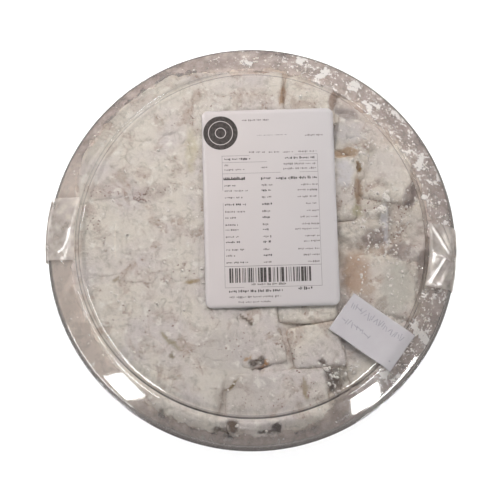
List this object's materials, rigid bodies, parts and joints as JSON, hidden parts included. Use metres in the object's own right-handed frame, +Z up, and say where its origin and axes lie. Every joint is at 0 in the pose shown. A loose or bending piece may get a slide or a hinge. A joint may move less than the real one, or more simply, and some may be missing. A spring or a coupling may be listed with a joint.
{
  "type": "turkish delight in a round tub",
  "caption": "Shut round clear tub packed with powder-dusted Turkish delight blocks, its lid carrying a paper label, a price sticker and strips of clear tape.",
  "frame": {"origin": "middle of the tub on the surface it stands on", "axes": "+Z up, -Y towards the front of the tub, +X to its right"},
  "size_m": [0.183, 0.18, 0.0455],
  "materials": {
    "clear_plastic": "clear, glossy, thermoformed, lightly dusted on the inside",
    "label_paper": "smooth thermal paper with dark print",
    "sticker_paper": "matt uncoated paper, cool white",
    "clear_tape": "clear glossy film, creased",
    "dusted_sweet": "soft starch jelly under a matt coat of powder"
  },
  "bodies": {
    "root": {"tub": "clear_plastic", "lid": "clear_plastic", "label": "label_paper", "sticker": "sticker_paper", "tape_left": "clear_tape", "tape_right": "clear_tape", "sweet_back_1": "dusted_sweet", "sweet_back_2": "dusted_sweet", "sweet_back_3": "dusted_sweet", "sweet_back_4": "dusted_sweet", "sweet_back_5": "dusted_sweet", "sweet_rear_1": "dusted_sweet", "sweet_rear_2": "dusted_sweet", "sweet_rear_3": "dusted_sweet", "sweet_rear_4": "dusted_sweet", "sweet_rear_5": "dusted_sweet", "sweet_rear_6": "dusted_sweet", "sweet_middle_1": "dusted_sweet", "sweet_middle_2": "dusted_sweet", "sweet_middle_3": "dusted_sweet", "sweet_middle_4": "dusted_sweet", "sweet_middle_5": "dusted_sweet", "sweet_middle_6": "dusted_sweet", "sweet_near_1": "dusted_sweet", "sweet_near_2": "dusted_sweet", "sweet_near_3": "dusted_sweet", "sweet_near_4": "dusted_sweet", "sweet_near_5": "dusted_sweet", "sweet_front_1": "dusted_sweet", "sweet_front_2": "dusted_sweet", "sweet_front_3": "dusted_sweet", "sweet_front_4": "dusted_sweet", "sweet_low_01": "dusted_sweet", "sweet_low_02": "dusted_sweet", "sweet_low_03": "dusted_sweet", "sweet_low_04": "dusted_sweet", "sweet_low_05": "dusted_sweet", "sweet_low_06": "dusted_sweet", "sweet_low_07": "dusted_sweet", "sweet_low_08": "dusted_sweet", "sweet_low_09": "dusted_sweet", "sweet_low_10": "dusted_sweet", "sweet_low_11": "dusted_sweet", "sweet_low_12": "dusted_sweet", "sweet_low_13": "dusted_sweet", "sweet_low_14": "dusted_sweet", "sweet_low_15": "dusted_sweet", "sweet_low_16": "dusted_sweet", "sweet_low_17": "dusted_sweet", "sweet_low_18": "dusted_sweet", "sweet_low_19": "dusted_sweet", "sweet_low_20": "dusted_sweet"}
  },
  "joints": []
}
